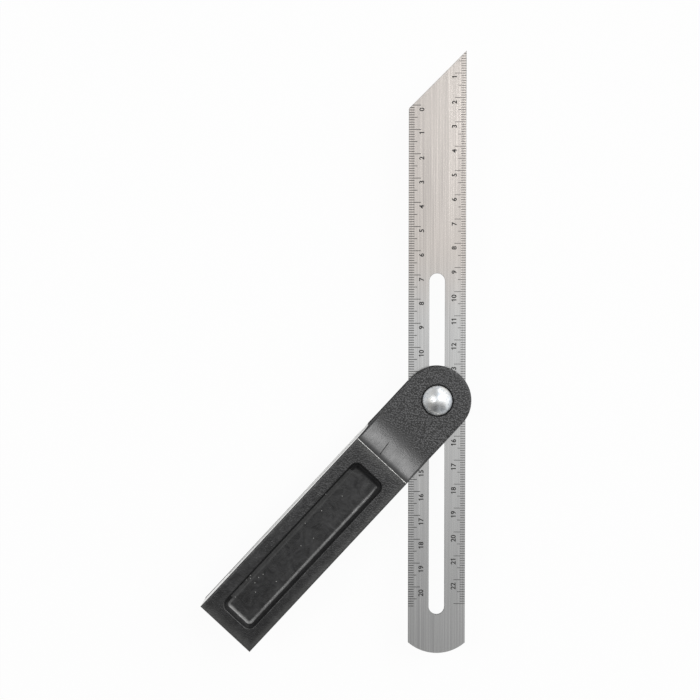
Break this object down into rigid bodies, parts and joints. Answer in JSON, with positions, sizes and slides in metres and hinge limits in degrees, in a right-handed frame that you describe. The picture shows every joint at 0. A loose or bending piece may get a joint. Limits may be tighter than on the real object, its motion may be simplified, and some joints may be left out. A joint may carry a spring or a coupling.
{
  "type": "adjustable square",
  "caption": "Sliding bevel: a slotted steel rule swings and slides in a black forked stock, held by a domed bolt and a wing nut.",
  "frame": {"origin": "on the pivot bolt's axis, at the middle of the blade's thickness", "axes": "+Y along the blade to its pointed tip, +Z out of the front face, the way the bolt's dome faces; the stock's foot is down and to the left at 42.8 degrees from the blade's tail"},
  "size_m": [0.1116, 0.25, 0.0322],
  "materials": {
    "painted_casting": "die cast, black leather-grained enamel, long sides of the body machined bare",
    "bare_aluminium": "machined",
    "zinc_plated_steel": "bright zinc plate",
    "ground_steel": "ground",
    "blade_steel": "stainless, brushed lengthwise, with dark etched scales",
    "nylon": "natural nylon"
  },
  "bodies": {
    "stock": {"stock_front_half": "painted_casting", "stock_rear_half": "painted_casting", "foot_spacer": "bare_aluminium", "foot_screw_1": "zinc_plated_steel", "foot_screw_2": "zinc_plated_steel", "foot_screw_3": "zinc_plated_steel", "foot_dowel_1": "ground_steel", "foot_dowel_2": "ground_steel", "pivot_bolt": "zinc_plated_steel"},
    "friction_washers": {"front_friction_washer": "nylon", "rear_friction_washer": "nylon"},
    "blade": {"blade": "blade_steel"},
    "nut_washers": {"flat_washer": "zinc_plated_steel", "spring_washer": "zinc_plated_steel"},
    "wing_nut": {"wing_nut": "zinc_plated_steel"}
  },
  "joints": [
    {"name": "blade_swing", "type": "hinge", "parent": "stock", "child": "friction_washers", "pos_m": [0, 0, 0], "axis": [0, 0, 1], "range_deg": [-207.8, 122.2]},
    {"name": "blade_slide", "type": "slide", "parent": "friction_washers", "child": "blade", "axis": [0, 1, 0], "range_m": [-0.04915, 0.08655]},
    {"name": "washer_release", "type": "slide", "parent": "stock", "child": "nut_washers", "axis": [0, 0, -1], "range_m": [0, 0.001]},
    {"name": "wing_nut_turn", "type": "hinge", "parent": "nut_washers", "child": "wing_nut", "pos_m": [0, 0, -0.013], "axis": [0, 0, -1], "range_deg": [0, 360]}
  ],
  "couplings": [
    {"joint": "washer_release", "follows": "wing_nut_turn", "m_per_rad": 0.00015915}
  ]
}
